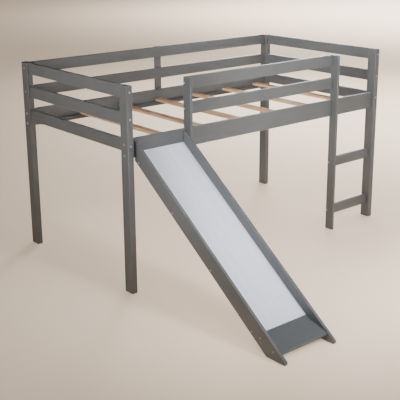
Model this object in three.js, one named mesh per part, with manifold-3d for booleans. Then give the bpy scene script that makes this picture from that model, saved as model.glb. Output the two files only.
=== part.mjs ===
// Low wooden loft bed with a slide and a two-rung ladder.
// Millimetres, +Z up. X runs along the bed, Y from the front (the slide's side) to the back.
// The origin is on the floor, under the middle of the whole footprint, slide included.

import * as THREE from "three";
import { mergeVertices } from "three/addons/utils/BufferGeometryUtils.js";
import Module from "manifold-3d";

const wasm = await Module();
wasm.setup();

// Bed frame, outside sizes over the legs
const bedLength = 2005;
const bedWidth = 1075;
const bedHeight = 1140;

// Legs, with their long side across the bed
const legThickness = 36;
const legDepth = 66;

// Boards: rails, guard rails and rungs are all planed to one thickness
const boardThickness = 18;
const railWidth = 68;
const railGap = 73;
const sideRailWidth = 105;
const rungWidth = 65;

// Ladder, between its post and the front right leg
const ladderClearWidth = 368;
const lowerRungTop = 158;
const rungPitch = 322;

// Ladder and slide posts: thin boards on edge, notched over the front side rail
const postThickness = 16;
const postDepth = 61;

// Stay behind the back rails
const stayWidth = 48;
const stayThickness = 18;

// Slatted base: slats lie loose on a cleat along each side rail
const cleatThickness = 18;
const cleatHeight = 26;
const cleatEndInset = 46;
const slatCount = 7;
const slatWidth = 50;
const slatThickness = 17;
const slatLeftInset = 37;
const slatRightInset = 77;

// Bed bolts: two through each leg into the end of a side rail, each drawn up by a barrel nut
const boltDiameter = 6;
const boltClearance = 0.5;
const boltHeadDiameter = 15;
const boltHeadHeight = 2;
const boltEdge = 0.8;
const boltSocketWidth = 4;
const boltSocketDepth = 3;
const boltTipLength = 8;
const upperBoltDrop = 27;
const lowerBoltRise = 17;
const nutDiameter = 10;
const nutLength = 14;
const nutInset = 36;
const nutSlotWidth = 1.6;
const nutSlotDepth = 1.2;

// Slide, hung on the front side rail beside the front left leg
const slideAngle = THREE.MathUtils.degToRad(36.3);
const slideWidth = 345;
const slideLegGap = 21;
const slideTopDrop = 10;
const slideBoardWidth = 90;
const slideBoardThickness = 16;
const slideTipRadius = 12;
const sheetThickness = 6;
const sheetDepth = 52;
const battenHeight = 30;
const battenWidth = 30;
const battenTopInset = 31;
const battenLowInset = 30;
const battenPlaceShares = [0, 0.32, 0.66, 1];
const exitLead = 61;
const exitAngle = THREE.MathUtils.degToRad(18.2);
const exitLength = 152;
const exitThickness = 18;

// Workmanship: eased edges, and the clearance that every butt joint and seat keeps
const edgeRadius = 3;
const endBevel = 2;
const jointGap = 0.3;
const cutOverrun = 5;
const roundSides = 16;

// Places that the pieces share. Rails count down from the top: 0 top, 1 middle, 2 low.
const legX = (bedLength - legThickness) / 2;
const legY = (bedWidth - legDepth) / 2;
const boardFrontY = -legY - boardThickness / 2;
const boardBackY = -legY + boardThickness / 2;
const railTop = (level) => bedHeight - level * (railWidth + railGap);
const sideRailTop = railTop(2);
const sideRailBottom = sideRailTop - sideRailWidth;
const cleatTop = sideRailBottom + cleatHeight;
const clearLength = bedLength - 2 * legThickness;
const clearWidth = bedWidth - 2 * legDepth;
const sideRailLength = clearLength - 2 * jointGap;
const sideRailZ = sideRailTop - sideRailWidth / 2;
const boltHeights = { upper: sideRailTop - upperBoltDrop, lower: sideRailBottom + lowerBoltRise };

const slideLeftX = -bedLength / 2 + legThickness + slideLegGap;
const slideCentreX = slideLeftX + slideWidth / 2;
const slidePostX = slideLeftX + slideWidth + jointGap + postThickness / 2;
const ladderPostX = bedLength / 2 - legThickness - ladderClearWidth - postThickness / 2;
const postY = boardBackY - postDepth / 2;

// Slide profile. Its top end stands plumb against the rail, its lower edge starts at the foot
// of that cut, and its upper edge ends in a round tip on the floor.
const slideBackY = boardFrontY - jointGap;
const slideTopZ = sideRailTop - slideTopDrop;
const slideEdgeZ = slideTopZ - slideBoardWidth / Math.cos(slideAngle);
const slideHeelRun = slideEdgeZ / Math.tan(slideAngle);
const tipCentreRun =
  (slideTopZ - slideTipRadius - slideTipRadius / Math.cos(slideAngle)) / Math.tan(slideAngle);
const slideTipY = slideBackY - tipCentreRun - slideTipRadius;

// The sheet and its battens, measured down the slope from the rail at the boards' lower edge.
// The sheet ends a little before the boards' heel, where the exit board takes over.
const sheetHeight = slideBoardWidth - sheetDepth;
const sheetTopRun = -sheetHeight * Math.tan(slideAngle);
const sheetLowRun = sheetTopRun + (slideHeelRun - exitLead) / Math.cos(slideAngle);

const CORNERS = { front_left: [-1, -1], front_right: [1, -1], back_left: [-1, 1], back_right: [1, 1] };
const RUN_X = new THREE.Euler(Math.PI / 2, Math.PI / 2, 0);
const RUN_Y = new THREE.Euler(Math.PI / 2, 0, 0);
const RUN_Z = new THREE.Euler(0, 0, 0);

/** Grey paint on planed softwood. */
function greyPaint() {
  return new THREE.MeshStandardMaterial({ color: 0x6f706d, roughness: 0.55, metalness: 0 });
}

/** Bare planed softwood. */
function bareWood() {
  return new THREE.MeshStandardMaterial({ color: 0xc9a98c, roughness: 0.75, metalness: 0 });
}

/** Smooth white laminate. */
function whiteLaminate() {
  return new THREE.MeshStandardMaterial({ color: 0xd0d2d8, roughness: 0.35, metalness: 0 });
}

/** Zinc-plated steel. */
function zincPlate() {
  return new THREE.MeshStandardMaterial({ color: 0x9a9b9c, roughness: 0.35, metalness: 1 });
}

/** Rectangle about the origin with eased corners. */
function easedRectangle(width, height) {
  const x = width / 2 - edgeRadius;
  const y = height / 2 - edgeRadius;
  const quarter = Math.PI / 2;
  const shape = new THREE.Shape();
  shape.absarc(x, y, edgeRadius, 0, quarter, false);
  shape.absarc(-x, y, edgeRadius, quarter, 2 * quarter, false);
  shape.absarc(-x, -y, edgeRadius, 2 * quarter, 3 * quarter, false);
  shape.absarc(x, -y, edgeRadius, 3 * quarter, 4 * quarter, false);
  shape.closePath();
  return shape;
}

/** A bar centred on the origin: an eased section drawn out along Z, with square ends. */
function squareEndedBar(width, height, length) {
  const options = { depth: length, bevelEnabled: false, curveSegments: 3 };
  const geometry = new THREE.ExtrudeGeometry(easedRectangle(width, height), options);
  return geometry.translate(0, 0, -length / 2);
}

/** The same bar with its end edges broken, for ends that stay in sight. */
function bevelledBar(width, height, length) {
  const options = {
    depth: length - 2 * endBevel,
    bevelThickness: endBevel,
    bevelSize: endBevel,
    bevelOffset: -endBevel,
    bevelSegments: 1,
    curveSegments: 3,
  };
  const geometry = new THREE.ExtrudeGeometry(easedRectangle(width, height), options);
  return geometry.translate(0, 0, endBevel - length / 2);
}

/** A plate cut to an outline in the YZ plane, drawn out along X about the origin. */
function profilePlate(outline, thickness) {
  const options = {
    depth: thickness - 2 * endBevel,
    bevelThickness: endBevel,
    bevelSize: endBevel,
    bevelOffset: -endBevel,
    bevelSegments: 1,
    curveSegments: 8,
  };
  const geometry = new THREE.ExtrudeGeometry(outline, options);
  return geometry.translate(0, 0, endBevel - thickness / 2);
}

/** Adds a named mesh to a group. */
function place(group, name, geometry, material, [x, y, z], turn = RUN_Z) {
  const mesh = new THREE.Mesh(geometry, material);
  mesh.name = name;
  mesh.position.set(x, y, z);
  mesh.rotation.copy(turn);
  group.add(mesh);
  return mesh;
}

/** A round rod about the origin, along Y. */
function rod(diameter, length) {
  return new THREE.CylinderGeometry(diameter / 2, diameter / 2, length, roundSides);
}

/** Closed solid of a geometry: shared vertices merged, faces that shrink to a line left out. */
function solidOf(geometry) {
  const plain = geometry.clone();
  plain.deleteAttribute("normal");
  plain.deleteAttribute("uv");
  const merged = mergeVertices(plain);
  const vertProperties = Float32Array.from(merged.attributes.position.array);
  const corners = merged.index.array;
  const faces = [];
  for (let start = 0; start < corners.length; start += 3) {
    const [a, b, c] = corners.slice(start, start + 3);
    if (a !== b && b !== c && c !== a) {
      faces.push(a, b, c);
    }
  }
  const triVerts = Uint32Array.from(faces);
  return new wasm.Manifold(new wasm.Mesh({ numProp: 3, vertProperties, triVerts }));
}

/** A geometry with cutters taken out of it. */
function cut(geometry, cutters) {
  return geometryOf(cutters.reduce((solid, cutter) => solid.subtract(solidOf(cutter)), solidOf(geometry)));
}

/** Flat-shaded geometry of a solid. */
function geometryOf(solid) {
  const { vertProperties, triVerts } = solid.getMesh();
  const geometry = new THREE.BufferGeometry();
  geometry.setAttribute("position", new THREE.BufferAttribute(vertProperties, 3));
  geometry.setIndex(new THREE.BufferAttribute(triVerts, 1));
  const flat = geometry.toNonIndexed();
  flat.computeVertexNormals();
  return flat;
}

/** Four legs, full height, bored for the bed bolts. */
function addLegs(bed) {
  const bores = Object.values(boltHeights).map((z) =>
    rod(boltDiameter + 2 * boltClearance, legThickness + 2 * cutOverrun)
      .rotateZ(Math.PI / 2)
      .translate(0, 0, z - bedHeight / 2));
  for (const [corner, [sideX, sideY]] of Object.entries(CORNERS)) {
    const leg = cut(bevelledBar(legThickness, legDepth, bedHeight), bores);
    place(bed, `leg_${corner}`, leg, greyPaint(), [sideX * legX, sideY * legY, bedHeight / 2]);
  }
}

/** Three rails at each end, between the front and the back leg. */
function addEndRails(bed) {
  for (const [end, sideX] of Object.entries({ left: -1, right: 1 })) {
    ["top", "middle", "low"].forEach((name, level) => {
      const rail = squareEndedBar(boardThickness, railWidth, clearWidth - 2 * jointGap);
      const middleZ = railTop(level) - railWidth / 2;
      place(bed, `end_rail_${end}_${name}`, rail, greyPaint(), [sideX * legX, 0, middleZ], RUN_Y);
    });
  }
}

/**
 * Cutters for a side rail, in its own frame: at each end, the bolts' bores in the end grain and the
 * blind holes for their nuts in the inner face, which lies on the side that inward names.
 */
function sideRailBores(inward) {
  const boreDepth = nutInset + nutDiameter / 2 + boltTipLength + jointGap;
  const nutDepth = (boardThickness + nutLength) / 2 + jointGap;
  const cutters = [];
  for (const end of [-1, 1]) {
    for (const boltZ of Object.values(boltHeights)) {
      const y = boltZ - sideRailZ;
      const bore = rod(boltDiameter + 2 * boltClearance, boreDepth + cutOverrun);
      const boreMiddle = end * (sideRailLength + cutOverrun - boreDepth) / 2;
      cutters.push(bore.rotateX(Math.PI / 2).translate(0, y, boreMiddle));
      const nutHole = rod(nutDiameter + 2 * jointGap, nutDepth + cutOverrun);
      const nutHoleMiddle = inward * (boardThickness + cutOverrun - nutDepth) / 2;
      const nutPlace = end * (sideRailLength / 2 - nutInset);
      cutters.push(nutHole.rotateZ(Math.PI / 2).translate(nutHoleMiddle, y, nutPlace));
    }
  }
  return cutters;
}

/** The side rails that carry the base, and the two rails above the back one. */
function addSideRails(bed) {
  for (const [side, sideY] of Object.entries({ front: -1, back: 1 })) {
    const rail = cut(squareEndedBar(boardThickness, sideRailWidth, sideRailLength), sideRailBores(-sideY));
    place(bed, `side_rail_${side}`, rail, greyPaint(), [0, sideY * legY, sideRailZ], RUN_X);
  }
  ["top", "middle"].forEach((name, level) => {
    const rail = squareEndedBar(boardThickness, railWidth, sideRailLength);
    place(bed, `back_rail_${name}`, rail, greyPaint(), [0, legY, railTop(level) - railWidth / 2], RUN_X);
  });
}

/** A bed bolt along Y: head above the origin, with a hexagon socket, and plain shank below it. */
function bedBolt() {
  const reach = legThickness + 2 * jointGap + nutInset + nutDiameter / 2 + boltTipLength;
  const profile = [
    [0, -reach],
    [boltDiameter / 2 - boltEdge, -reach],
    [boltDiameter / 2, boltEdge - reach],
    [boltDiameter / 2, 0],
    [boltHeadDiameter / 2, 0],
    [boltHeadDiameter / 2, boltHeadHeight - boltEdge],
    [boltHeadDiameter / 2 - boltEdge, boltHeadHeight],
    [0, boltHeadHeight],
  ].map(([radius, y]) => new THREE.Vector2(radius, y));
  const socketRadius = boltSocketWidth / Math.sqrt(3);
  const socket = new THREE.CylinderGeometry(socketRadius, socketRadius, boltSocketDepth + cutOverrun, 6);
  socket.translate(0, boltHeadHeight + (cutOverrun - boltSocketDepth) / 2, 0);
  return cut(new THREE.LatheGeometry(profile, roundSides), [socket]);
}

/** A barrel nut along Y, bored across for its bolt, with a screwdriver slot in its inner end. */
function barrelNut(inward) {
  const bore = rod(boltDiameter + 2 * jointGap, nutDiameter + 2 * cutOverrun).rotateZ(Math.PI / 2);
  const slot = new THREE.BoxGeometry(nutDiameter + 2 * cutOverrun, nutSlotDepth + cutOverrun, nutSlotWidth);
  slot.translate(0, inward * (nutLength + cutOverrun - nutSlotDepth) / 2, 0);
  return cut(rod(nutDiameter, nutLength), [bore, slot]);
}

/** Two bolts with their nuts at each leg. */
function addBedBolts(bed) {
  for (const [corner, [sideX, sideY]] of Object.entries(CORNERS)) {
    for (const [level, z] of Object.entries(boltHeights)) {
      const headX = sideX * (bedLength / 2 + jointGap);
      const turn = new THREE.Euler(0, 0, -sideX * Math.PI / 2);
      place(bed, `bed_bolt_${corner}_${level}`, bedBolt(), zincPlate(), [headX, sideY * legY, z], turn);
      const nutX = sideX * (sideRailLength / 2 - nutInset);
      place(bed, `barrel_nut_${corner}_${level}`, barrelNut(-sideY), zincPlate(), [nutX, sideY * legY, z]);
    }
  }
}

/** Upright stay that ties the back rails together at mid length, on their outer faces. */
function addBackStay(bed) {
  const height = bedHeight - sideRailBottom;
  const stay = bevelledBar(stayWidth, stayThickness, height);
  const y = legY + boardThickness / 2 + jointGap + stayThickness / 2;
  place(bed, "back_stay", stay, greyPaint(), [0, y, sideRailBottom + height / 2]);
}

/** A post notched at its back so that it straddles the front side rail. */
function notchedPost(bottom) {
  const height = bedHeight - bottom;
  const middleZ = bottom + height / 2;
  const post = bevelledBar(postThickness, postDepth, height);
  const notchDepth = boardThickness + jointGap;
  const notchHeight = sideRailWidth + 2 * jointGap;
  const notch = new THREE.BoxGeometry(
    postThickness + 2 * cutOverrun, notchDepth + cutOverrun, notchHeight);
  notch.translate(0, (postDepth + cutOverrun - notchDepth) / 2, sideRailZ - middleZ);
  return { geometry: cut(post, [notch]), middleZ };
}

/** The post beside the slide, from the rail up, and the ladder's post, from the floor up. */
function addPosts(bed) {
  const slidePost = notchedPost(sideRailBottom);
  place(bed, "slide_post", slidePost.geometry, greyPaint(), [slidePostX, postY, slidePost.middleZ]);
  const ladderPost = notchedPost(0);
  place(bed, "ladder_post", ladderPost.geometry, greyPaint(), [ladderPostX, postY, ladderPost.middleZ]);
}

/** Two guard rails between the posts. */
function addGuardRails(bed) {
  const left = slidePostX + postThickness / 2 + jointGap;
  const right = ladderPostX - postThickness / 2 - jointGap;
  ["top", "middle"].forEach((name, level) => {
    const rail = squareEndedBar(boardThickness, railWidth, right - left);
    const middleZ = railTop(level) - railWidth / 2;
    place(bed, `guard_rail_${name}`, rail, greyPaint(), [(left + right) / 2, -legY, middleZ], RUN_X);
  });
}

/** Two rungs between the ladder's post and the front right leg. */
function addRungs(bed) {
  const left = ladderPostX + postThickness / 2;
  ["lower", "upper"].forEach((name, step) => {
    const rung = squareEndedBar(boardThickness, rungWidth, ladderClearWidth - 2 * jointGap);
    const middleZ = lowerRungTop + step * rungPitch - rungWidth / 2;
    place(bed, `rung_${name}`, rung, greyPaint(), [left + ladderClearWidth / 2, -legY, middleZ], RUN_X);
  });
}

/** A cleat along the foot of each side rail, and the slats that lie across the two. */
function addBase(bed) {
  const cleatY = legY - boardThickness / 2 - jointGap - cleatThickness / 2;
  for (const [side, sideY] of Object.entries({ front: -1, back: 1 })) {
    const cleat = squareEndedBar(cleatThickness, cleatHeight, clearLength - 2 * cleatEndInset);
    place(bed, `cleat_${side}`, cleat, greyPaint(), [0, sideY * cleatY, cleatTop - cleatHeight / 2], RUN_X);
  }
  const endRailInnerX = legX - boardThickness / 2;
  const firstX = -endRailInnerX + slatLeftInset + slatWidth / 2;
  const lastX = endRailInnerX - slatRightInset - slatWidth / 2;
  const pitch = (lastX - firstX) / (slatCount - 1);
  const length = 2 * (legY - boardThickness / 2 - jointGap);
  const z = cleatTop + jointGap + slatThickness / 2;
  for (let index = 0; index < slatCount; index += 1) {
    const slat = squareEndedBar(slatWidth, slatThickness, length);
    place(bed, `slat_${index + 1}`, slat, bareWood(), [firstX + index * pitch, 0, z], RUN_Y);
  }
}

/** Outline of a slide board, seen along X: plumb top end, floor cut and round tip. */
function slideBoardOutline() {
  const outline = new THREE.Shape();
  outline.moveTo(slideBackY, slideTopZ);
  outline.lineTo(slideBackY, slideEdgeZ);
  outline.lineTo(slideBackY - slideHeelRun, 0);
  outline.lineTo(slideBackY - tipCentreRun, 0);
  const tipEnd = Math.PI / 2 + slideAngle;
  outline.absarc(
    slideBackY - tipCentreRun, slideTipRadius, slideTipRadius, -Math.PI / 2, tipEnd - 2 * Math.PI, true);
  outline.closePath();
  return outline;
}

/** Outline of the sliding sheet in the slope's own frame: plumb top end, square lower end. */
function sheetOutline() {
  const endCut = sheetThickness * Math.tan(slideAngle);
  const outline = new THREE.Shape();
  outline.moveTo(-sheetTopRun, sheetHeight);
  outline.lineTo(-sheetLowRun, sheetHeight);
  outline.lineTo(-sheetLowRun, sheetHeight - sheetThickness);
  outline.lineTo(-sheetTopRun - endCut, sheetHeight - sheetThickness);
  outline.closePath();
  return outline;
}

/** The slide: two side boards, the sheet on its battens, and the flatter exit board. */
function addSlide(bed) {
  const boardX = slideWidth / 2 - slideBoardThickness / 2;
  const innerWidth = slideWidth - 2 * slideBoardThickness - 2 * jointGap;
  const slide = new THREE.Group();
  slide.position.x = slideCentreX;
  bed.add(slide);
  for (const [side, sideX] of Object.entries({ left: -1, right: 1 })) {
    const board = profilePlate(slideBoardOutline(), slideBoardThickness);
    place(slide, `slide_board_${side}`, board, greyPaint(), [sideX * boardX, 0, 0], RUN_X);
  }

  // The slope's frame starts where the boards' lower edge meets the rail, with -Y down the slope.
  const slope = new THREE.Group();
  slope.position.set(0, slideBackY, slideEdgeZ);
  slope.rotation.x = slideAngle;
  slide.add(slope);
  const sheetOptions = { depth: innerWidth, bevelEnabled: false };
  const sheet = new THREE.ExtrudeGeometry(sheetOutline(), sheetOptions).translate(0, 0, -innerWidth / 2);
  place(slope, "slide_sheet", sheet, whiteLaminate(), [0, 0, 0], RUN_X);
  const battenZ = sheetHeight - sheetThickness - jointGap - battenHeight / 2;
  const battenSpan = sheetLowRun - battenLowInset - battenTopInset;
  battenPlaceShares.forEach((share, index) => {
    const run = battenTopInset + share * battenSpan;
    const batten = squareEndedBar(battenWidth, battenHeight, innerWidth);
    place(slope, `slide_batten_${index + 1}`, batten, greyPaint(), [0, -run, battenZ], RUN_X);
  });

  // The exit board starts at the sheet's lower edge, with its face flush there.
  const exit = new THREE.Group();
  exit.position.set(0, -sheetLowRun, sheetHeight);
  exit.rotation.x = exitAngle - slideAngle;
  slope.add(exit);
  const exitBoard = squareEndedBar(exitLength, exitThickness, innerWidth);
  const exitY = -jointGap - exitLength / 2;
  place(exit, "slide_exit", exitBoard, greyPaint(), [0, exitY, -exitThickness / 2], RUN_X);
}

const bed = new THREE.Group();
addLegs(bed);
addEndRails(bed);
addSideRails(bed);
addBedBolts(bed);
addBackStay(bed);
addPosts(bed);
addGuardRails(bed);
addRungs(bed);
addBase(bed);
addSlide(bed);

// Centre the footprint, from the slide's tips to the back legs, on the origin.
bed.position.y = -(slideTipY + bedWidth / 2) / 2;

export default bed;
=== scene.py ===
"""Looks of a grey-painted loft bed with a slide, dressed round its CAD frame.

Lengths are metres in the CAD model's frame: X along the bed, Y from the front to the back, Z up from
the floor. Boards are copies of their CAD solids with a grain of their own. Fasteners that are too
small for the CAD model are surfaces of revolution, set on the boards that they hold.
"""

import logging
import math
from collections.abc import Sequence
from dataclasses import dataclass
from enum import Enum
from functools import cache
from typing import NamedTuple

import bmesh
import bpy
import numpy as np
from mathutils import Matrix, Vector

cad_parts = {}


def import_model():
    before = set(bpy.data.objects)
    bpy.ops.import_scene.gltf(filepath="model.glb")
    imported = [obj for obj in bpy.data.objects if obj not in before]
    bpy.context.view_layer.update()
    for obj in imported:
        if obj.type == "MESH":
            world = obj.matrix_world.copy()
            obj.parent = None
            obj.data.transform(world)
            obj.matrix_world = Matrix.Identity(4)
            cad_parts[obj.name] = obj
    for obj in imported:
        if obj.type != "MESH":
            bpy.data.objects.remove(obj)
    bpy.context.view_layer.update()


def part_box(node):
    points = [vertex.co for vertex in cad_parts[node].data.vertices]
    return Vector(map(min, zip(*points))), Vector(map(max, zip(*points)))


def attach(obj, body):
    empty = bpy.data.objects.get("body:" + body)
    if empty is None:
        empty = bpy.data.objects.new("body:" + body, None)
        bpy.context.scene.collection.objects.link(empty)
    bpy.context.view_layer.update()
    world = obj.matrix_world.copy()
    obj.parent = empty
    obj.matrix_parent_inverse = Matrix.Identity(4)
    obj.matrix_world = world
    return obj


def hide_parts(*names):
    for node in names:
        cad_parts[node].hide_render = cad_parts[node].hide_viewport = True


LOG = logging.getLogger("loft_bed")
BODY = "root"
SEED = 41
MM = 0.001
X, Y, Z = range(3)
# How far the CAD model's slide and its exit board slope from level.
SLIDE_SLOPE = math.radians(36.3)
EXIT_SLOPE = math.radians(18.2)
# The colour sockets of a Mix node share their names with its other sockets, so they go by number.
MIX_SHARE, MIX_UNDER, MIX_OVER, MIX_OUT = 0, 6, 7, 2

Colour = tuple[float, float, float, float]
Point = tuple[float, float, float]


def linear(hex_code: str) -> Colour:
    """Turns an sRGB colour to linear.

    A channel is offset, scaled and raised to a power, and the darkest ones are only scaled.

    Args:
        hex_code: The colour's hex code.

    Returns:
        The linear colour with its alpha.
    """
    channels = np.array([int(hex_code[at:at + 2], 16) for at in (1, 3, 5)]) / 255
    curved = ((channels + 0.055) / 1.055) ** 2.4
    return (*np.where(channels <= 0.04045, channels / 12.92, curved).tolist(), 1.0)


def add_node(tree: bpy.types.NodeTree, kind: str, feeds: dict[str | int, object] | None = None,
             out: str | int | None = None, **settings: object) -> bpy.types.Node | bpy.types.NodeSocket:
    """Adds a node with its settings and its inputs.

    Args:
        tree: The node tree that takes it.
        kind: The node's type name.
        feeds: Its inputs by name or number, each a value or the output socket that feeds it.
        out: The output to return instead of the node.
        settings: Its options, by name.

    Returns:
        The new node, or the output that out names.
    """
    node = tree.nodes.new(kind)
    for name, value in settings.items():
        setattr(node, name, value)
    for name, value in (feeds or {}).items():
        if isinstance(value, bpy.types.NodeSocket):
            tree.links.new(value, node.inputs[name])
        else:
            node.inputs[name].default_value = value
    return node if out is None else node.outputs[out]


def new_material(name: str) -> tuple[bpy.types.Material, bpy.types.NodeTree, bpy.types.Node]:
    """An empty node material.

    Args:
        name: The material's name.

    Returns:
        The material, its node tree and its surface shader.
    """
    material = bpy.data.materials.new(name)
    material.use_nodes = True
    tree = material.node_tree
    tree.nodes.clear()
    shader = add_node(tree, "ShaderNodeBsdfPrincipled")
    add_node(tree, "ShaderNodeOutputMaterial", {"Surface": shader.outputs["BSDF"]})
    return material, tree, shader


class Layer(NamedTuple):
    """A colour that lies over a finish where a pattern is strong.

    Attributes:
        pattern: The pattern, from 0 to 1.
        low: The pattern's value where the colour starts to show.
        high: The pattern's value where it shows most.
        most: How much of it shows there.
        colour: The colour's hex code.
    """

    pattern: bpy.types.NodeSocket
    low: float
    high: float
    most: float
    colour: str


def lay_colours(tree: bpy.types.NodeTree, ground: str, *layers: Layer) -> bpy.types.NodeSocket:
    """Lays colours over a ground colour.

    A colour's share rises evenly from nothing to its most between its pattern's low and high values.

    Args:
        tree: The node tree.
        ground: The ground colour's hex code.
        layers: What lies over it, the lowest first.

    Returns:
        The socket of the mixed colour.
    """
    mixed = linear(ground)
    for layer in layers:
        share = add_node(tree, "ShaderNodeMapRange", {
            "Value": layer.pattern, "From Min": layer.low, "From Max": layer.high,
            "To Min": 0.0, "To Max": layer.most}, 0)
        mixed = add_node(tree, "ShaderNodeMix", {
            MIX_SHARE: share, MIX_UNDER: mixed, MIX_OVER: linear(layer.colour)}, MIX_OUT,
            data_type="RGBA")
    return mixed


def stretched_spots(tree: bpy.types.NodeTree, place: bpy.types.NodeSocket, length: float, width: float,
                    octaves: float, octave_strength: float = 0.6) -> bpy.types.Node:
    """Adds spots that are stretched along the grain.

    The coordinates are divided by the size of a spot in each direction before the noise reads them.

    Args:
        tree: The node tree.
        place: The coordinates, with the grain along their first axis.
        length: The size of one spot along the grain.
        width: Its size across the grain.
        octaves: How many finer octaves it has.
        octave_strength: How strong each is beside the one before.

    Returns:
        The noise node.
    """
    scaled = add_node(tree, "ShaderNodeVectorMath", {
        0: place, 1: (1 / length, 1 / width, 1 / width)}, 0, operation="MULTIPLY")
    return add_node(tree, "ShaderNodeTexNoise", {
        "Vector": scaled, "Scale": 1.0, "Detail": octaves, "Roughness": octave_strength})


class Grain(Enum):
    """Which way a board's grain runs: its length, width and thickness directions."""

    ALONG_BED = ((1, 0, 0), (0, 0, 1), (0, 1, 0))
    ACROSS_BED = ((0, 1, 0), (0, 0, 1), (1, 0, 0))
    FLAT_ACROSS_BED = ((0, 1, 0), (1, 0, 0), (0, 0, 1))
    UPRIGHT = ((0, 0, 1), (0, 1, 0), (1, 0, 0))
    DOWN_SLIDE = ((0, -math.cos(SLIDE_SLOPE), -math.sin(SLIDE_SLOPE)),
                  (0, -math.sin(SLIDE_SLOPE), math.cos(SLIDE_SLOPE)), (1, 0, 0))
    ACROSS_EXIT = ((1, 0, 0), (0, -math.sin(EXIT_SLOPE), math.cos(EXIT_SLOPE)),
                   (0, -math.cos(EXIT_SLOPE), -math.sin(EXIT_SLOPE)))

    @property
    def axes(self) -> np.ndarray:
        """The three directions as the rows of a matrix."""
        return np.array(self.value, float)


@dataclass(frozen=True)
class SoftwoodFigure:
    """The figure of flat-grained pine, from the board's own coordinates in the attribute grain.

    Real growth rings are 2 to 4 mm wide and fibres under 1 mm. Both are drawn coarser here, because
    a finer pattern would not show at the size that the whole bed is seen.

    Attributes:
        ring_width: The distance from ring to ring.
        ring_start: The height of the rings' wave where their darker wood starts.
        wander_length, wander_width: The size of the waves that bend the pith.
        wander_depth: How far they bend it.
        taper: How fast the rings narrow along the board.
        fibre_length, fibre_width: The size of one fibre streak.
        patch_size: The size of one cloud of tone.
    """

    ring_width: float = 6 * MM
    ring_start: float = -0.4
    wander_length: float = 420 * MM
    wander_width: float = 140 * MM
    wander_depth: float = 9 * MM
    taper: float = 0.035
    fibre_length: float = 140 * MM
    fibre_width: float = 4 * MM
    patch_size: float = 160 * MM

    def draw(self, tree: bpy.types.NodeTree) -> dict[str, bpy.types.NodeSocket]:
        """Adds the figure to a material.

        The rings are a sine of the distance from the pith, which is bent by slow noise along the
        board and narrows along it, so a flat-sawn face shows arches and an end face shows arcs.

        Args:
            tree: The node tree.

        Returns:
            Sockets from 0 to 1: rings, fibre, patches, tone of the board, sides for painted light, eased
                edges.
        """
        place = add_node(tree, "ShaderNodeAttribute", out="Vector", attribute_name="grain")
        wander = stretched_spots(tree, place, self.wander_length, self.wander_width, 1.0)
        centred = add_node(tree, "ShaderNodeVectorMath", {
            0: wander.outputs["Color"], 1: (0.5, 0.5, 0.5)}, 0, operation="SUBTRACT")
        bend = add_node(tree, "ShaderNodeVectorMath", {
            0: centred, 1: (0.0, 2 * self.wander_depth, 2 * self.wander_depth), 2: place}, 0,
            operation="MULTIPLY_ADD")
        squeezed = add_node(tree, "ShaderNodeVectorMath", {0: bend, 1: (self.taper, 1.0, 1.0)}, 0,
                            operation="MULTIPLY")
        radius = add_node(tree, "ShaderNodeVectorMath", {0: squeezed}, "Value", operation="LENGTH")
        turns = add_node(tree, "ShaderNodeMath", {0: radius, 1: 2 * math.pi / self.ring_width}, 0,
                         operation="MULTIPLY")
        wave = add_node(tree, "ShaderNodeMath", {0: turns}, 0, operation="SINE")
        figure = {
            "rings": add_node(tree, "ShaderNodeMapRange", {
                "Value": wave, "From Min": self.ring_start, "From Max": 1.0}, 0,
                interpolation_type="SMOOTHSTEP"),
            "fibre": stretched_spots(tree, place, self.fibre_length, self.fibre_width, 4.0).outputs[0],
            "patches": stretched_spots(tree, place, self.patch_size, self.patch_size, 2.0).outputs[0]}
        for name in ("tone", "sawn", "rubbed"):
            figure[name] = add_node(tree, "ShaderNodeAttribute", out="Fac", attribute_name=name)
        return figure


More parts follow.
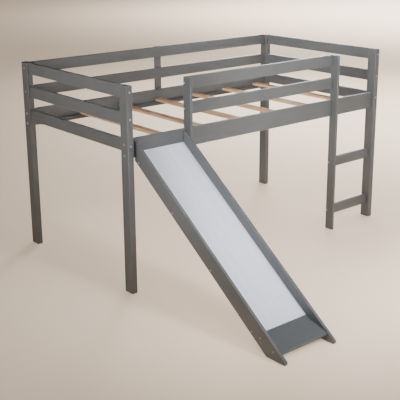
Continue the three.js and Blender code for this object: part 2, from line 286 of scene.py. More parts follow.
@dataclass(frozen=True)
class SatinPaintOnPine:
    """Acrylic paint sprayed on planed pine.

    The eye gets a soft, broad sheen, a grey that clouds slightly from board to board, and the
    grain standing up faintly under the coat. Its arrises are paler: partly paint thinned by
    handling, partly a painted highlight for the light that rounded edges catch.
    """

    name: str = "satin_paint_on_pine"
    slot: str = "grey_paint"
    coat: str = "#56595b"
    thin_coat: str = "#5c5f61"
    dark_coat: str = "#4d5052"
    rubbed_and_highlit_coat: str = "#6e7173"
    # The paler arrises, part wear and part painted highlight, are broken up by the patches: the least share
    # and the patch range.
    least_rub_and_highlight: float = 0.3
    rub_and_highlight_range: tuple[float, float] = (0.35, 0.6)
    roughness: float = 0.5
    sheen_spread: float = 0.1
    sheen_range: tuple[float, float] = (0.3, 0.7)
    ior: float = 1.5
    ring_relief: float = 0.6
    grain_height: float = 0.25 * MM
    grain_strength: float = 0.16

    @cache
    def material(self) -> bpy.types.Material:
        """Makes the node material of the paint.

        Returns:
            The material, the same one each time.
        """
        material, tree, shader = new_material(self.name)
        figure = SoftwoodFigure().draw(tree)
        uneven = add_node(tree, "ShaderNodeMapRange", {
            "Value": figure["patches"], "From Min": self.rub_and_highlight_range[0], "From Max": self.rub_and_highlight_range[1],
            "To Min": self.least_rub_and_highlight}, 0)
        # Edge wear and painted highlight: the eased edges take the paler rubbed coat, broken up by patches.
        worn_and_highlit = add_node(tree, "ShaderNodeMath", {0: figure["rubbed"], 1: uneven}, 0, operation="MULTIPLY")
        colour = lay_colours(tree, self.coat,
                             Layer(figure["patches"], 0.3, 0.7, 1.0, self.thin_coat),
                             Layer(figure["fibre"], 0.45, 0.75, 0.3, self.dark_coat),
                             Layer(figure["tone"], 0.0, 1.0, 0.35, self.dark_coat),
                             Layer(worn_and_highlit, 0.0, 1.0, 1.0, self.rubbed_and_highlit_coat))
        relief = add_node(tree, "ShaderNodeMath", {
            0: figure["rings"], 1: self.ring_relief, 2: figure["fibre"]}, 0, operation="MULTIPLY_ADD")
        bump = add_node(tree, "ShaderNodeBump", {
            "Strength": self.grain_strength, "Distance": self.grain_height, "Height": relief}, 0)
        shine = add_node(tree, "ShaderNodeMapRange", {
            "Value": figure["fibre"], "From Min": self.sheen_range[0], "From Max": self.sheen_range[1],
            "To Min": self.roughness - self.sheen_spread, "To Max": self.roughness + self.sheen_spread}, 0)
        tree.links.new(colour, shader.inputs["Base Color"])
        tree.links.new(shine, shader.inputs["Roughness"])
        tree.links.new(bump, shader.inputs["Normal"])
        shader.inputs["IOR"].default_value = self.ior
        return material


@dataclass(frozen=True)
class PlanedPine:
    """Bare pine, planed and lightly sanded.

    The eye gets brown faces with darker rings and fine fibre streaks, and eased edges that look
    dry. The sides along the board's width are painted paler as painted light, standing in for the
    light that falls on them. It has hardly any sheen.
    """

    name: str = "planed_pine"
    slot: str = "bare_wood"
    early: str = "#cfa982"
    late: str = "#a17956"
    streak: str = "#c0906b"
    aged: str = "#c29672"
    dry: str = "#ead0b3"
    # Painted light: the paler colour of the sides along the width, standing in for the light on them.
    sawn: str = "#e9c197"
    roughness: float = 0.72
    ior: float = 1.5
    grain_height: float = 0.35 * MM
    grain_strength: float = 0.5

    @cache
    def material(self) -> bpy.types.Material:
        """Makes the node material of the bare wood.

        Returns:
            The material, the same one each time.
        """
        material, tree, shader = new_material(self.name)
        figure = SoftwoodFigure().draw(tree)
        colour = lay_colours(tree, self.early,
                             Layer(figure["rings"], 0.0, 1.0, 0.75, self.late),
                             Layer(figure["fibre"], 0.4, 0.7, 0.7, self.streak),
                             Layer(figure["tone"], 0.0, 1.0, 0.5, self.aged),
                             # Painted light: the sides along the width are laid paler, as if lit.
                             Layer(figure["sawn"], 0.0, 1.0, 0.75, self.sawn),
                             Layer(figure["rubbed"], 0.0, 1.0, 0.6, self.dry))
        relief = add_node(tree, "ShaderNodeMath", {0: figure["rings"], 1: figure["fibre"]}, 0,
                          operation="ADD")
        bump = add_node(tree, "ShaderNodeBump", {
            "Strength": self.grain_strength, "Distance": self.grain_height, "Height": relief}, 0)
        tree.links.new(colour, shader.inputs["Base Color"])
        tree.links.new(bump, shader.inputs["Normal"])
        shader.inputs["Roughness"].default_value = self.roughness
        shader.inputs["IOR"].default_value = self.ior
        return material


@dataclass(frozen=True)
class WhiteMelamine:
    """Melamine paper pressed on thin hardboard.

    The eye gets a cool, even white with a soft shine that streaks down the slope, where sliding has
    polished it, over a skin with a barely seen ripple.
    """

    name: str = "white_melamine"
    slot: str = "white_laminate"
    clean: str = "#e8ebfa"
    dull: str = "#e2e5f4"
    roughness: float = 0.32
    polished: float = 0.24
    ior: float = 1.55
    streak_length: float = 600 * MM
    streak_width: float = 22 * MM
    streak_range: tuple[float, float] = (0.3, 0.7)
    ripple: float = 9 * MM
    ripple_height: float = 0.1 * MM
    ripple_strength: float = 0.2

    @cache
    def material(self) -> bpy.types.Material:
        """Makes the node material of the sheet.

        Returns:
            The material, the same one each time.
        """
        material, tree, shader = new_material(self.name)
        place = add_node(tree, "ShaderNodeAttribute", out="Vector", attribute_name="grain")
        streaks = stretched_spots(tree, place, self.streak_length, self.streak_width, 3.0).outputs[0]
        ripples = stretched_spots(tree, place, self.ripple, self.ripple, 1.0).outputs[0]
        low, high = self.streak_range
        colour = lay_colours(tree, self.clean, Layer(streaks, low, high, 1.0, self.dull))
        shine = add_node(tree, "ShaderNodeMapRange", {
            "Value": streaks, "From Min": low, "From Max": high,
            "To Min": self.polished, "To Max": self.roughness}, 0)
        bump = add_node(tree, "ShaderNodeBump", {
            "Strength": self.ripple_strength, "Distance": self.ripple_height, "Height": ripples}, 0)
        tree.links.new(colour, shader.inputs["Base Color"])
        tree.links.new(shine, shader.inputs["Roughness"])
        tree.links.new(bump, shader.inputs["Normal"])
        shader.inputs["IOR"].default_value = self.ior
        return material


@dataclass(frozen=True)
class ZincPlate:
    """Bright zinc plated on turned and pressed steel.

    The eye gets a cool grey metal, slightly clouded by the plating, with dulled spots.
    """

    name: str = "zinc_plate"
    slot: str = "zinc_plate"
    bright: str = "#bdbfc1"
    clouded: str = "#9a9c9f"
    roughness: float = 0.34
    dull: float = 0.5
    cloud_size: float = 3 * MM
    cloud_range: tuple[float, float] = (0.35, 0.65)

    @cache
    def material(self) -> bpy.types.Material:
        """Makes the node material of the plating.

        Returns:
            The material, the same one each time.
        """
        material, tree, shader = new_material(self.name)
        place = add_node(tree, "ShaderNodeTexCoord", out="Object")
        clouds = stretched_spots(tree, place, self.cloud_size, self.cloud_size, 3.0).outputs[0]
        low, high = self.cloud_range
        colour = lay_colours(tree, self.bright, Layer(clouds, low, high, 1.0, self.clouded))
        shine = add_node(tree, "ShaderNodeMapRange", {
            "Value": clouds, "From Min": low, "From Max": high,
            "To Min": self.roughness, "To Max": self.dull}, 0)
        tree.links.new(colour, shader.inputs["Base Color"])
        tree.links.new(shine, shader.inputs["Roughness"])
        shader.inputs["Metallic"].default_value = 1.0
        return material


Finish = SatinPaintOnPine | PlanedPine | WhiteMelamine | ZincPlate
PAINT = SatinPaintOnPine()
# Painted shade: a darker copy of the grey paint, laid on the cleats so that they stay dark as if in shade
# under the slats.
CLEAT_SHADE_PAINT = SatinPaintOnPine("dark_paint_on_pine", coat="#424345", thin_coat="#48494b",
                              dark_coat="#3b3c3e", rubbed_and_highlit_coat="#505153")
BARE = PlanedPine()
WHITE = WhiteMelamine()
ZINC = ZincPlate()


def put_in_scene(name: str, data: bpy.types.ID) -> bpy.types.Object:
    """Makes an object of new data.

    Args:
        name: The object's name.
        data: Its mesh, light or camera.

    Returns:
        The object, at the origin.
    """
    made = bpy.data.objects.new(name, data)
    bpy.context.scene.collection.objects.link(made)
    return made


def settle(piece: bpy.types.Object, finish: Finish, *nodes: str) -> bpy.types.Object:
    """Gives a piece its finish and its place on the bed.

    Args:
        piece: The piece, in place.
        finish: Its finish.
        nodes: The CAD nodes that it stands for.

    Returns:
        The same piece.
    """
    piece.data.materials.clear()
    piece.data.materials.append(finish.material())
    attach(piece, BODY)
    if nodes:
        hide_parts(*nodes)
    return piece


@dataclass
class Board:
    """A board of the bed: its CAD solid, merged, with grain coordinates and soft shading.

    Attributes:
        node: The CAD node.
        grain: Which way its grain runs.
        finish: Its finish.
        merge: How close two points of the solid are to become one.
        crease: The angle past which an edge stays sharp.
        worn_turn: How far a face turns from the board's sides to count fully as an eased edge.
        trunk: The length of the trunk that it was cut from.
        pith_side: How far the pith can lie to either side of its middle.
        pith_depth: How deep the pith can lie under its face, the least and the most.
    """

    node: str
    grain: Grain
    finish: Finish
    merge: float = 0.01 * MM
    crease: float = math.radians(35)
    worn_turn: float = 0.29
    trunk: float = 9.0
    pith_side: float = 30 * MM
    pith_depth: tuple[float, float] = (14 * MM, 48 * MM)

    def merged_solid(self) -> bpy.types.Mesh:
        """Copies the CAD solid and joins its loose triangles.

        Returns:
            The new mesh.
        """
        mesh = bpy.data.objects[self.node].data.copy()
        shell = bmesh.new()
        shell.from_mesh(mesh)
        bmesh.ops.remove_doubles(shell, verts=shell.verts, dist=self.merge)
        shell.to_mesh(mesh)
        shell.free()
        mesh.name = f"{self.node}_board"
        return mesh

    def write_attributes(self, mesh: bpy.types.Mesh, chance: np.random.Generator) -> None:
        """Writes the attributes that the finishes read.

        The attribute grain is the place measured from a pith outside the board, along its length,
        width and thickness. The edge attribute is how far a face turns from the board's sides, so it
        marks the eased edges. The side attribute is how far a face looks along the board's width, so
        it marks the sides that the bare finish paints paler, as painted light. The attribute tone is
        one random number for the whole board.

        Args:
            mesh: The board's mesh.
            chance: The source of random numbers.
        """
        axes = self.grain.axes
        places = np.empty(3 * len(mesh.vertices), np.float32)
        mesh.vertices.foreach_get("co", places)
        places = places.reshape(-1, 3)
        middle = (places.min(axis=0) + places.max(axis=0)) / 2
        pith = np.array([chance.uniform(0, self.trunk), chance.uniform(-1, 1) * self.pith_side,
                         chance.uniform(*self.pith_depth)])
        grain = (places - middle) @ axes.T + pith
        normals = np.empty(3 * len(mesh.polygons), np.float32)
        mesh.polygons.foreach_get("normal", normals)
        facing = np.abs(normals.reshape(-1, 3) @ axes.T)
        turned = 1 - facing.max(axis=1)
        # The eased edges, which the paint lays paler as wear and painted highlight.
        rubbed = np.sqrt(np.clip(turned / self.worn_turn, 0, 1))
        # Painted light: marks the faces along the width, which the bare finish paints paler as if lit.
        sawn = facing[:, 1]
        tone = np.full(len(places), chance.uniform())
        for name, kind, domain, field, values in (
                ("grain", "FLOAT_VECTOR", "POINT", "vector", grain),
                ("rubbed", "FLOAT", "FACE", "value", rubbed),
                ("sawn", "FLOAT", "FACE", "value", sawn),
                ("tone", "FLOAT", "POINT", "value", tone)):
            mesh.attributes.new(name, kind, domain).data.foreach_set(
                field, values.astype(np.float32).ravel())

    def build(self, chance: np.random.Generator) -> bpy.types.Object:
        """Builds the board with its attributes, its shading and its finish.

        Args:
            chance: The source of random numbers.

        Returns:
            The finished piece.
        """
        mesh = self.merged_solid()
        self.write_attributes(mesh, chance)
        mesh.polygons.foreach_set("use_smooth", np.ones(len(mesh.polygons), bool))
        mesh.set_sharp_from_angle(angle=self.crease)
        piece = put_in_scene(mesh.name, mesh)
        piece.modifiers.new("flat_faces", "WEIGHTED_NORMAL").keep_sharp = True
        return settle(piece, self.finish, self.node)


class Facing(Enum):
    """The way that a fastener's head looks."""

    FRONT = (0, -1, 0)
    BACK = (0, 1, 0)
    LEFT = (-1, 0, 0)
    RIGHT = (1, 0, 0)
    UP = (0, 0, 1)

    @property
    def frame(self) -> np.ndarray:
        """The head's own axes, as the rows of a matrix.

        The third is the way that it looks. The first is the cross product of the bed's X or Z axis
        and the third, and the second is the cross product of the third and the first.

        Returns:
            The matrix.
        """
        ahead = np.array(self.value, float)
        spare = np.array([1.0, 0.0, 0.0] if self is Facing.UP else [0.0, 0.0, 1.0])
        side = np.cross(spare, ahead)
        return np.stack([side, np.cross(ahead, side), ahead])


class Recess(Enum):
    """The recess in a fastener's head, by its number of sides."""

    HEXAGON = 6
    CROSS = 4

    def outline(self, turn: np.ndarray, waist: float = 0.32, lobe_power: int = 3) -> np.ndarray:
        """Works out the recess's radius at each turn.

        A regular polygon's radius is its inner radius over the cosine of the turn from the middle
        of its side. The cross is four lobes, a power of the cosine of twice the turn, on a waist.

        Args:
            turn: The turns, in radians.
            waist: The cross's least radius, as a share of its corner radius.
            lobe_power: How narrow its lobes are.

        Returns:
            The radius at each turn, as a share of the corner radius.
        """
        if self is Recess.CROSS:
            return waist + (1 - waist) * np.abs(np.cos(2 * turn)) ** lobe_power
        half = math.pi / self.value
        return math.cos(half) / np.cos(turn % (2 * half) - half)


@dataclass(frozen=True)
class Head:
    """The head of a bolt or a screw.

    Attributes:
        radius: Its radius.
        height: How far it stands proud.
        recess: The kind of recess.
        recess_radius: The recess's corner radius.
        recess_depth: How deep the recess goes below the head's top.
        bite: How far the head is let into the wood.
        edge_height: How high its edge is, as a share of its height.
        rim: Where its crown ends, as a share of the recess's corner radius.
        lip: How far the recess's mouth is below the head's top.
        draft: The radius of the recess's floor, as a share of its corner radius.
        crown_steps: Steps from its edge to its rim.
        sides: Steps round it.
    """

    radius: float = 6 * MM
    height: float = 2.2 * MM
    recess: Recess = Recess.HEXAGON
    recess_radius: float = 2.6 * MM
    recess_depth: float = 2 * MM
    bite: float = 0.2 * MM
    edge_height: float = 0.45
    rim: float = 1.25
    lip: float = 0.1 * MM
    draft: float = 0.94
    crown_steps: int = 5
    sides: int = 24

    def points(self) -> np.ndarray:
        """Works out the head's points, with its axis on Z and the wood at height 0.

        A head is a surface of turn and step. Its radius is the profile's radius at that step, pulled
        to the recess's outline inside the rim. Its height follows an arc from the edge to the rim,
        drops down the recess and closes at both poles, which are the last two points.

        Returns:
            The points, step by step and turn by turn.
        """
        turn = np.arange(self.sides) * 2 * math.pi / self.sides
        rise = np.linspace(0, math.pi / 2, self.crown_steps)
        edge = self.radius - (self.radius - self.recess_radius * self.rim) * (1 - np.cos(rise))
        crown = self.height * (self.edge_height + (1 - self.edge_height) * np.sin(rise))
        floor = self.height - self.recess_depth
        profile = np.concatenate([
            [[self.radius, -self.bite, 0]],
            np.column_stack([edge, crown, np.zeros_like(edge)]),
            [[self.recess_radius, self.height - self.lip, 1], [self.recess_radius * self.draft, floor, 1]]])
        radius, height, pull = (column[:, None] for column in profile.T)
        radius = radius * (1 + pull * (self.recess.outline(turn) - 1))
        wall = np.stack([radius * np.cos(turn), radius * np.sin(turn),
                         np.broadcast_to(height, radius.shape)], axis=-1)
        return np.vstack([wall.reshape(-1, 3), [[0, 0, -self.bite], [0, 0, floor]]])

    def faces(self, count: int) -> tuple[np.ndarray, np.ndarray]:
        """Works out which points each face of the head joins.

        A wall's face joins two turns of one step to the same turns of the next. A pole's face joins
        two turns of the first or the last step to the pole.

        Args:
            count: How many points the head has.

        Returns:
            The four-sided and the three-sided faces.
        """
        ring = np.arange(self.sides)
        after = (ring + 1) % self.sides
        last = count - 2 - self.sides
        row = np.arange(0, last, self.sides)[:, None]
        walls = np.stack([row + ring, row + after, row + self.sides + after,
                          row + self.sides + ring], axis=-1).reshape(-1, 4)
        under = np.stack([np.full(self.sides, count - 2), after, ring], axis=-1)
        inside = np.stack([np.full(self.sides, count - 1), last + ring, last + after], axis=-1)
        return walls, np.vstack([under, inside])


BED_BOLT = Head()
SLIDE_BOLT = Head(radius=4.5 * MM)
STAY_SCREW = Head(4.2 * MM, 1.2 * MM, Recess.CROSS, recess_radius=2.4 * MM, recess_depth=1.4 * MM)
SLAT_SCREW = Head(3.8 * MM, 0.4 * MM, Recess.CROSS, recess_radius=2.2 * MM, recess_depth=1.4 * MM)


@dataclass
class Fasteners:
    """A set of equal bolts or screws, of which only the heads show.

    Attributes:
        name: The set's name.
        head: The head that each has.
        facing: The way that the heads look.
        places: Where they sit on the wood.
        crease: The angle past which an edge of a head stays sharp.
    """

    name: str
    head: Head
    facing: Facing
    places: np.ndarray
    crease: float = math.radians(40)

    def build(self) -> bpy.types.Object:
        """Makes all the heads as one mesh, a turned and shifted copy of one head at each place.

        Returns:
            The finished piece.
        """
        head = self.head.points()
        points = head @ self.facing.frame + self.places[:, None]
        shift = np.arange(len(self.places))[:, None, None] * len(head)
        faces = [face for group in self.head.faces(len(head))
                 for face in (group + shift).reshape(-1, group.shape[1]).tolist()]
        mesh = bpy.data.meshes.new(self.name)
        mesh.from_pydata(points.reshape(-1, 3).tolist(), [], faces)
        mesh.polygons.foreach_set("use_smooth", np.ones(len(mesh.polygons), bool))
        mesh.set_sharp_from_angle(angle=self.crease)
        return settle(put_in_scene(self.name, mesh), ZINC)


class Extent(NamedTuple):
    """The lowest, the middle and the highest point of a CAD node's box."""

    low: np.ndarray
    middle: np.ndarray
    high: np.ndarray


def extent(node: str) -> Extent:
    """The extent of a CAD node's box."""
    low, high = (np.array(point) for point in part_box(node))
    return Extent(low, (low + high) / 2, high)


def grid_of(*sides: Sequence[float]) -> np.ndarray:
    """Every place whose X, Y and Z come from the three lists."""
    return np.stack(np.meshgrid(*sides, indexing="ij"), axis=-1).reshape(-1, 3)


@dataclass
class BedFrame:
    """Legs, rails, posts and guard rails, with the bolts that hold them.

    Attributes:
        chance: The source of random numbers.
        levels: How far below the bed's top the end, back and guard rails are bolted.
    """

    chance: np.random.Generator
    levels: tuple[float, ...] = (34 * MM, 175 * MM, 316 * MM)

    def boards(self) -> list[Board]:
        """Names all the boards of the frame.

        Returns:
            The boards.
        """
        sides = ("left", "right")
        legs = [f"leg_{depth}_{side}" for depth in ("front", "back") for side in sides]
        ends = [f"end_rail_{side}_{level}" for side in sides for level in ("top", "middle", "low")]
        along = ("side_rail_front", "side_rail_back", "back_rail_top", "back_rail_middle",
                 "guard_rail_top", "guard_rail_middle")
        upright = ("back_stay", "slide_post", "ladder_post")
        return [Board(name, grain, PAINT)
                for names, grain in ((legs, Grain.UPRIGHT), (ends, Grain.ACROSS_BED),
                                     (along, Grain.ALONG_BED), (upright, Grain.UPRIGHT))
                for name in names]

    def fasteners(self) -> list[Fasteners]:
        """Places the bolts through the legs and the posts, and the stay's screws into the rails.

        Returns:
            The sets of fasteners.
        """
        left, right, stay = extent("leg_front_left"), extent("leg_back_right"), extent("back_stay")
        legs_x = [left.middle[X], right.middle[X]]
        heights = [left.high[Z] - drop for drop in self.levels]
        high_two = heights[:2]
        guard_y = [extent("guard_rail_top").middle[Y]]
        back_y = [extent("back_rail_top").middle[Y]]
        stay_z = [extent(name).middle[Z]
                  for name in ("back_rail_top", "back_rail_middle", "side_rail_back")]
        return [Fasteners(name, head, facing, grid_of(*sides)) for name, head, facing, sides in (
            ("end_rail_bolts_front", BED_BOLT, Facing.FRONT, (legs_x, [left.low[Y]], heights)),
            ("end_rail_bolts_back", BED_BOLT, Facing.BACK, (legs_x, [right.high[Y]], heights)),
            ("back_rail_bolts_left", BED_BOLT, Facing.LEFT, ([left.low[X]], back_y, high_two)),
            ("back_rail_bolts_right", BED_BOLT, Facing.RIGHT, ([right.high[X]], back_y, high_two)),
            ("guard_rail_bolts_left", BED_BOLT, Facing.LEFT,
             ([extent("slide_post").low[X]], guard_y, high_two)),
            ("guard_rail_bolts_right", BED_BOLT, Facing.RIGHT,
             ([extent("ladder_post").high[X]], guard_y, high_two)),
            ("stay_screws", STAY_SCREW, Facing.BACK, ([stay.middle[X]], [stay.high[Y]], stay_z)))]

    def build(self) -> list[bpy.types.Object]:
        """Builds the frame and returns its pieces."""
        return [board.build(self.chance) for board in self.boards()] + [
            item.build() for item in self.fasteners()]


@dataclass
class BedBolts:
    """The bed bolts and barrel nuts of the CAD model, in their plating.

    Attributes:
        prefixes: What their nodes' names start with.
    """

    prefixes: tuple[str, ...] = ("bed_bolt_", "barrel_nut_")

    def build(self) -> list[bpy.types.Object]:
        """Dresses the CAD nodes.

        Returns:
            The nodes.
        """
        nodes = [item for item in bpy.data.objects
                 if item.type == "MESH" and item.name.startswith(self.prefixes)]
        for node in nodes:
            node.data.materials.clear()
            node.data.materials.append(ZINC.material())
        return nodes


@dataclass
class Ladder:
    """The two rungs and the bolts that hold them.

    Attributes:
        chance: The source of random numbers.
        rungs: The rungs' CAD nodes.
    """

    chance: np.random.Generator
    rungs: tuple[str, ...] = ("rung_lower", "rung_upper")

    def build(self) -> list[bpy.types.Object]:
        """Builds the ladder.

        Returns:
            Its pieces.
        """
        pieces = [Board(name, Grain.ALONG_BED, PAINT).build(self.chance) for name in self.rungs]
        middles = [extent(name).middle for name in self.rungs]
        heights = [middle[Z] for middle in middles]
        for name, facing, wall in (
                ("rung_bolts_left", Facing.LEFT, extent("ladder_post").low[X]),
                ("rung_bolts_right", Facing.RIGHT, extent("leg_front_right").high[X])):
            places = grid_of([wall], [middles[0][Y]], heights)
            pieces.append(Fasteners(name, BED_BOLT, facing, places).build())
        return pieces


@dataclass
class SlattedBase:
    """The cleats and the bare slats, each slat held by a screw at each end.

    Attributes:
        chance: The source of random numbers.
        slats: How many slats there are.
        screw_inset: How far each screw is from the slat's end.
    """

    chance: np.random.Generator
    slats: int = 7
    screw_inset: float = 12 * MM

    def build(self) -> list[bpy.types.Object]:
        """Builds the base.

        Returns:
            Its pieces.
        """
        names = [f"slat_{number + 1}" for number in range(self.slats)]
        pieces = [Board(name, Grain.FLAT_ACROSS_BED, BARE).build(self.chance) for name in names]
        # Painted shade: the cleats take the darker copy of the paint, as if in shade.
        pieces += [Board(name, Grain.ALONG_BED, CLEAT_SHADE_PAINT).build(self.chance)
                   for name in ("cleat_front", "cleat_back")]
        first = extent(names[0])
        places = grid_of([extent(name).middle[X] for name in names],
                         [first.low[Y] + self.screw_inset, first.high[Y] - self.screw_inset],
                         [first.high[Z]])
        return pieces + [Fasteners("slat_screws", SLAT_SCREW, Facing.UP, places).build()]


@dataclass
class Slide:
    """The slide: side boards, white sheet, battens under it, and the flatter exit board.

    Attributes:
        chance: The source of random numbers.
        battens: How many battens there are.
        exit_bolts: Where the exit board's bolts lie, as shares of its box from its top.
    """

    chance: np.random.Generator
    battens: int = 4
    exit_bolts: tuple[float, float] = (0.18, 0.76)

    def batten_names(self) -> list[str]:
        """The battens' CAD nodes."""
        return [f"slide_batten_{number + 1}" for number in range(self.battens)]

    def boards(self) -> list[Board]:
        """Names the slide's boards and its sheet.

        Returns:
            The boards.
        """
        return [Board("slide_board_left", Grain.DOWN_SLIDE, PAINT),
                Board("slide_board_right", Grain.DOWN_SLIDE, PAINT),
                *(Board(name, Grain.ALONG_BED, PAINT) for name in self.batten_names()),
                Board("slide_sheet", Grain.DOWN_SLIDE, WHITE),
                Board("slide_exit", Grain.ACROSS_EXIT, PAINT)]

    def fasteners(self) -> list[Fasteners]:
        """Places the bolts through the side boards into the battens and the exit board.

        Returns:
            The sets of fasteners.
        """
        end = extent("slide_exit")
        middles = [extent(name).middle for name in self.batten_names()]
        middles += [end.high - share * (end.high - end.low) for share in self.exit_bolts]
        found = []
        for name, facing, wall in (
                ("slide_bolts_left", Facing.LEFT, extent("slide_board_left").low[X]),
                ("slide_bolts_right", Facing.RIGHT, extent("slide_board_right").high[X])):
            places = np.array(middles)
            places[:, X] = wall
            found.append(Fasteners(name, SLIDE_BOLT, facing, places))
        return found

    def build(self) -> list[bpy.types.Object]:
        """Builds the slide and returns its pieces."""
        return [board.build(self.chance) for board in self.boards()] + [
            item.build() for item in self.fasteners()]


@dataclass(frozen=True)
class SoftLight:
    """A square soft light that the camera does not see.

    Attributes:
        name: Its name.
        place: Where it hangs.
        target: What it points at.
        size: Its side.
        power: Its power in watts.
        spread: How wide it shines, in degrees.
    """

    name: str
    place: Point
    target: Point
    size: float
    power: float
    spread: float = 180.0

    def hang(self) -> bpy.types.Object:
        """Hangs the light.

        Returns:
            The light's object.
        """
        lamp = bpy.data.lights.new(self.name, "AREA")
        lamp.size = self.size
        lamp.energy = self.power
        lamp.spread = math.radians(self.spread)
        holder = put_in_scene(self.name, lamp)
        holder.location = self.place
        aim = Vector(self.target) - Vector(self.place)
        holder.rotation_euler = aim.to_track_quat("-Z", "Y").to_euler()
        holder.visible_camera = False
        return holder


# The first nine stand at the front and the left and give the bed its tones. The next four fill the
# ladder, the right end, the back and the right. The last four light the floor.
LIGHTS = (
    SoftLight("front_near", (0.3, -1.9, 1.5), (0.3, 0.0, 1.1), 0.6, 11.4),
    SoftLight("front_left", (-1.2, -1.8, 1.2), (0.4, 0.0, 0.9), 0.6, 2.0),
    SoftLight("front_far", (1.4, -4.2, 1.35), (0.9, 0.0, 1.2), 0.8, 5.7, 40.0),
    SoftLight("slide_front", (-0.3, -2.6, 1.9), (-0.5, -0.8, 0.5), 0.8, 5.9, 60.0),
    SoftLight("slide_high", (-0.4, -3.2, 2.4), (-0.55, -0.5, 0.7), 0.6, 2.9, 44.0),
    SoftLight("slide_fill", (-1.12, -1.0, 1.0), (-0.6, -0.7, 0.4), 0.5, 4.0),
    SoftLight("slide_inside", (-1.9, -0.2, 1.3), (-0.6, -0.6, 0.45), 0.4, 1.2, 60.0),
    SoftLight("left_far", (-7.0, -1.5, 2.4), (-1.0, 0.3, 1.8), 1.2, 16.8, 30.0),
    SoftLight("left_front", (-4.5, -1.8, 1.5), (-1.0, 0.0, 1.1), 0.6, 2.0, 36.0),
    SoftLight("ladder_fill", (-0.1, -0.5, 1.5), (0.9, 0.1, 1.0), 0.4, 5.5),
    SoftLight("end_fill", (0.1, 0.5, 1.6), (0.97, 0.5, 1.0), 0.5, 5.0),
    SoftLight("back_fill", (5.2, 5.0, 1.9), (0.0, 0.8, 0.9), 2.0, 52.0, 60.0),
    SoftLight("right_fill", (6.0, 1.5, 2.2), (0.9, 0.5, 0.8), 2.5, 80.0),
    SoftLight("floor_front", (0.5, -1.35, 3.2), (0.5, -1.35, 0.0), 1.0, 9.0, 40.0),
    SoftLight("floor_end", (4.5, 0.0, 4.0), (4.5, 0.0, 0.0), 3.0, 180.0, 90.0),
    SoftLight("floor_back", (3.5, 3.5, 4.0), (3.5, 3.5, 0.0), 3.0, 88.0, 90.0),
    SoftLight("floor_far", (12.5, 8.0, 5.0), (12.5, 8.0, 0.0), 9.0, 1450.0, 110.0))


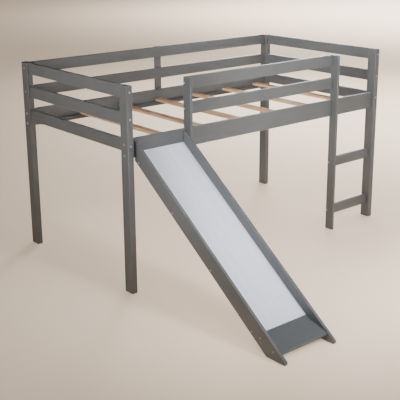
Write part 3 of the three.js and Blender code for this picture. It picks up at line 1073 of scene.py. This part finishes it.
@dataclass
class Studio:
    """The pale floor and the wall round it, the soft lights and the camera.

    Attributes:
        floor_size: The floor's side.
        floor_lines: The number of lines of its grid in each direction.
        floor_colour, floor_mottle: The two colours that it clouds between.
        floor_glow: How strongly it glows in them.
        floor_roughness: How matt it is.
        mottle_size: The size of its clouds.
        wall_radius, wall_height, wall_sides: The size of the wall round it, and its number of sides.
        room_colour, room_glow: The even light of the room.
        eye: Where the camera stands.
        yaw, pitch, roll: Where it looks, in degrees: right of +Y, up, and turned clockwise.
        focal: Its focal length in widths of the picture.
        centre: The point of the picture that it looks at, in widths from the left and the top.
        sensor: Its sensor's width in millimetres.
        sight: How far it sees.
    """

    floor_size: float = 80.0
    floor_lines: int = 9
    floor_colour: str = "#f0d8be"
    floor_mottle: str = "#ecd3b8"
    floor_glow: float = 0.57
    floor_roughness: float = 0.85
    mottle_size: float = 5 / 3
    wall_radius: float = 39.0
    wall_height: float = 30.0
    wall_sides: int = 48
    room_colour: str = "#fbfbfb"
    room_glow: float = 0.02
    eye: Point = (-3.5174, -3.5753, 1.9509)
    yaw: float = 40.55
    pitch: float = -16.55
    roll: float = -0.15
    focal: float = 2.1864
    centre: tuple[float, float] = (0.5258, 0.446525)
    sensor: float = 36.0
    sight: float = 200.0

    def coat(self) -> bpy.types.Material:
        """Mixes the matt, faintly mottled pale coat of the floor and the wall.

        Returns:
            The material.
        """
        material, tree, shader = new_material("matt_studio_coat")
        place = add_node(tree, "ShaderNodeTexCoord", out="Object")
        mottle = add_node(tree, "ShaderNodeTexNoise", {
            "Vector": place, "Scale": 1 / self.mottle_size, "Detail": 2.0}, 0)
        pale = lay_colours(tree, self.floor_colour, Layer(mottle, 0.0, 1.0, 1.0, self.floor_mottle))
        tree.links.new(pale, shader.inputs["Base Color"])
        tree.links.new(pale, shader.inputs["Emission Color"])
        shader.inputs["Emission Strength"].default_value = self.floor_glow
        shader.inputs["Roughness"].default_value = self.floor_roughness
        return material

    def surface(self, name: str, points: np.ndarray, faces: np.ndarray,
                coat: bpy.types.Material) -> bpy.types.Object:
        """Stages a surface of four-sided faces.

        Args:
            name: Its name.
            points: Its points.
            faces: The points of each face.
            coat: Its material.

        Returns:
            The surface.
        """
        mesh = bpy.data.meshes.new(name)
        mesh.from_pydata(points.tolist(), [], faces.tolist())
        mesh.materials.append(coat)
        staged = put_in_scene(name, mesh)
        return staged

    def floor(self, coat: bpy.types.Material) -> bpy.types.Object:
        """Lays the floor, a flat square grid whose faces join two lines that follow each other.

        Args:
            coat: Its material.

        Returns:
            The floor.
        """
        count = self.floor_lines
        lines = np.linspace(-self.floor_size / 2, self.floor_size / 2, count)
        start = np.arange(count - 1)
        first = (start[:, None] * count + start).ravel()
        faces = np.stack([first, first + count, first + count + 1, first + 1], axis=-1)
        return self.surface("studio_floor", grid_of(lines, lines, [0.0]), faces, coat)

    def wall(self, coat: bpy.types.Material) -> bpy.types.Object:
        """Stands a round wall on the floor, which ends a low view and throws no light on the bed.

        Each point is the cosine and the sine of its turn times the wall's radius, at its foot or its
        top. A face joins two turns that follow each other and looks inward.

        Args:
            coat: Its material.

        Returns:
            The wall.
        """
        at = np.arange(self.wall_sides)
        after = (at + 1) % self.wall_sides
        turn = at * 2 * math.pi / self.wall_sides
        ring = np.column_stack([np.cos(turn), np.sin(turn)]) * self.wall_radius
        points = np.vstack([np.column_stack([ring, np.full(self.wall_sides, height)])
                            for height in (0.0, self.wall_height)])
        faces = np.stack([after, at, at + self.wall_sides, after + self.wall_sides], axis=-1)
        wall = self.surface("studio_wall", points, faces, coat)
        wall.visible_diffuse = wall.visible_glossy = wall.visible_shadow = False
        return wall

    def room(self) -> bpy.types.World:
        """Fills the room with its faint even light.

        Returns:
            The world that holds it.
        """
        world = bpy.data.worlds.new("studio_room")
        bpy.context.scene.world = world
        world.use_nodes = True
        glow = world.node_tree.nodes["Background"]
        glow.inputs["Color"].default_value = linear(self.room_colour)
        glow.inputs["Strength"].default_value = self.room_glow
        return world

    def camera(self) -> bpy.types.Object:
        """Sets the camera from its place, its angles and the point of the picture that it looks at.

        It looks along the yaw in the plan and the pitch in the height. Its level axis is square to
        that in the plan, and the roll turns its right and up axes round the way that it looks.

        Returns:
            The camera.
        """
        yaw, pitch, roll = (math.radians(angle) for angle in (self.yaw, self.pitch, self.roll))
        ahead = Vector((math.sin(yaw) * math.cos(pitch), math.cos(yaw) * math.cos(pitch),
                        math.sin(pitch)))
        level = Vector((math.cos(yaw), -math.sin(yaw), 0.0))
        upright = level.cross(ahead)
        right = level * math.cos(roll) + upright * math.sin(roll)
        up = upright * math.cos(roll) - level * math.sin(roll)
        lens = bpy.data.cameras.new("camera")
        lens.sensor_width = self.sensor
        lens.lens = self.focal * self.sensor
        lens.shift_x = 0.5 - self.centre[0]
        lens.shift_y = self.centre[1] - 0.5
        lens.clip_end = self.sight
        stand = put_in_scene("camera", lens)
        frame = Matrix((right, up, -ahead)).transposed().to_4x4()
        stand.matrix_world = Matrix.Translation(self.eye) @ frame
        bpy.context.scene.camera = stand
        return stand

    def build(self) -> None:
        """Builds the floor, the wall, the lights and the camera."""
        coat = self.coat()
        self.floor(coat)
        self.wall(coat)
        for light in LIGHTS:
            light.hang()
        self.room()
        self.camera()


def main() -> None:
    """Dresses the frame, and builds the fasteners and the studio."""
    logging.basicConfig(level=logging.INFO, format="%(name)s: %(message)s")
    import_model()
    Studio().build()
    chance = np.random.default_rng(SEED)
    parts = (BedFrame(chance), Ladder(chance), SlattedBase(chance), Slide(chance), BedBolts())
    for part in parts:
        for piece in part.build():
            LOG.info("%s: %s, %d faces", type(part).__name__, piece.name, len(piece.data.polygons))


if __name__ == "__main__":
    main()
